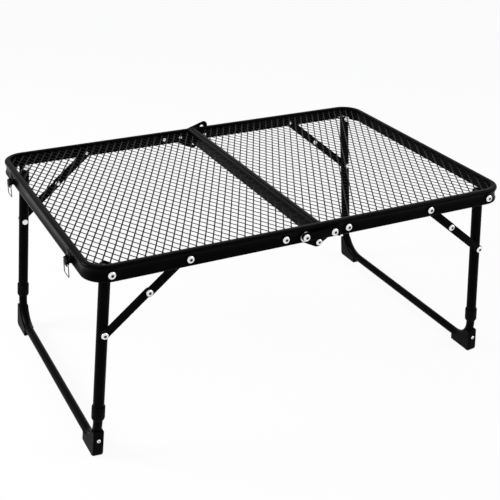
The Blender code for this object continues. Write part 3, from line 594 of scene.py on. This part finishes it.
def add_leg_rivet(label, face, side, facing):
    place = leg_place(side) @ Matrix.Translation((0, 0, -BRACE_LEG_S))
    place = place @ Matrix.Rotation(math.radians(-90 * facing), 4, "X")
    bm = bmesh.new()
    tube_in = LEG_Y - TUBE_RADIUS - GAP
    rivet(bm, place, [(tube_in - 0.0012, tube_in - 0.0008, 0.0032), (tube_in - 0.0008, tube_in, 0.0040),
                      (tube_in, 0.1859, 0.0022)], SMALL_HEAD_RADIUS)
    name = f"{label}_{face}_leg_rivet"
    add_piece(name + "_finished", bm, STEEL, f"{label}_legs", [name])


def add_joint_rivet(label, face, side, facing):
    """The rivet between the two links of a brace, which is fast in the upper link."""
    start = Vector((side * BRACE_RAIL_X, PIVOT_Z))
    down = Vector((side * math.sin(SPLAY), -math.cos(SPLAY)))
    end = Vector((side * PIVOT_X, PIVOT_Z)) + down * BRACE_LEG_S
    straight = (end - start).length
    folded = PIVOT_X - BRACE_LEG_S - BRACE_RAIL_X
    joint = start.lerp(end, (straight - folded) / 2 / straight)
    bm = bmesh.new()
    rivet(bm, facing_out(joint.x, joint.y, facing),
          [(0.1831, 0.1834, 0.0036), (0.1834, UPPER_LINK_OUT, 0.0022)], SMALL_HEAD_RADIUS)
    add_piece(f"{label}_{face}_joint_rivet", bm, STEEL, f"{label}_{face}_upper")


def add_u_tube(label, side):
    """The thin tube that runs down both legs and across between the feet."""
    low = -(PIVOT_Z - U_RAIL_HEIGHT) / math.cos(SPLAY)
    points = [(-LEG_Y, -THIN_TOP)]
    points += arc((-LEG_Y + THIN_BEND, low + THIN_BEND), THIN_BEND, 180, 270, 14)
    points += arc((LEG_Y - THIN_BEND, low + THIN_BEND), THIN_BEND, 270, 360, 14)
    points.append((LEG_Y, -THIN_TOP))
    curve = bpy.data.curves.new("u_tube", "CURVE")
    curve.dimensions = "3D"
    curve.bevel_depth = THIN_RADIUS
    curve.bevel_resolution = 8
    curve.use_fill_caps = True
    spline = curve.splines.new("POLY")
    spline.points.add(len(points) - 1)
    for point, (y, z) in zip(spline.points, points):
        point.co = (0, y, z, 1)
    drawing = bpy.data.objects.new("u_tube", curve)
    bpy.context.scene.collection.objects.link(drawing)
    graph = bpy.context.evaluated_depsgraph_get()
    bm = bmesh.new()
    bm.from_mesh(drawing.evaluated_get(graph).to_mesh())
    bpy.data.objects.remove(drawing)
    bmesh.ops.transform(bm, matrix=leg_place(side), verts=bm.verts)
    add_piece(f"{label}_u_tube", bm, PAINT, f"{label}_u", [f"{label}_u_leg"])


def add_foot_screw(label, face, side, facing):
    """The cross-recessed screw that holds a foot on the thin tube."""
    height = 0.0240
    place = facing_out(side * (PIVOT_X + (PIVOT_Z - height) * math.tan(SPLAY)), height, facing)
    bm = bmesh.new()
    rivet(bm, place, [(0.1818, 0.1827, 0.0016)], 0.0025, 0.0010)
    add_piece(f"{label}_{face}_foot_screw", bm, STEEL, f"{label}_u")


def on_foot_edge(corner):
    """Whether a corner of a foot lies on its sole, its rounded heel or its outer face."""
    sole, shoulder = 0.0009, 0.030
    reach = 0.1765 if corner.z < shoulder else 0.1823
    return corner.z < sole or abs(corner.y) > reach


def add_leg_set(label, side):
    add_u_tube(label, side)
    for face, facing in FACES:
        add_leg_bolt(label, face, side, facing)
        add_brace_rivet(label, face, side, facing)
        add_fixing_rivet(label, face, side, facing)
        add_leg_tube(label, face, side, facing)
        add_collar(label, face, side, facing)
        add_leg_rivet(label, face, side, facing)
        add_joint_rivet(label, face, side, facing)
        add_foot_screw(label, face, side, facing)
        softened(f"{label}_{face}_foot", PLASTIC, f"{label}_u", 0.0040, 4, 40, rounds=on_foot_edge,
                 merge=0.0008)
        softened(f"{label}_{face}_upper_link", PAINT, f"{label}_{face}_upper", 0.0003,
                 level=UPPER_LINK_OUT + 0.00005)
        softened(f"{label}_{face}_lower_link", PAINT, f"{label}_{face}_lower", 0.0003)
        softened(f"{label}_{face}_hinge_plate", PAINT, f"{label}_half", 0.0003)


# Latches and hooks


def add_fastenings(face, facing):
    softened(f"{face}_lock_hook", PAINT, f"{face}_hook", 0.0003)
    softened(f"{face}_latch_base", PAINT, "left_half", 0.0002)
    softened(f"{face}_latch_lever", PAINT, f"{face}_lever", 0.0003)
    softened(f"{face}_catch", PAINT, "right_half", 0.0003)
    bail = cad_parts[f"{face}_latch_bail"]
    bail.data.materials.clear()
    bail.data.materials.append(WIRE)


add_camera()
light_world()
add_floor()
add_softbox("key_left", (-1.7, 0.7, 0.9), (0, 0, 0.2), (0.9, 0.9), 45)
add_softbox("fill_right", (1.5, -1.2, 1.4), (0, 0, 0.2), (1.2, 1.2), 18)
for end, way in ENDS:
    add_rail(end, way)
    add_net(end, way)
    add_bar(end, way)
    add_leg_set(end, way)
for name, way in FACES:
    add_centre_pins(name, way)
    add_fastenings(name, way)
bpy.context.scene.view_settings.view_transform = "Standard"
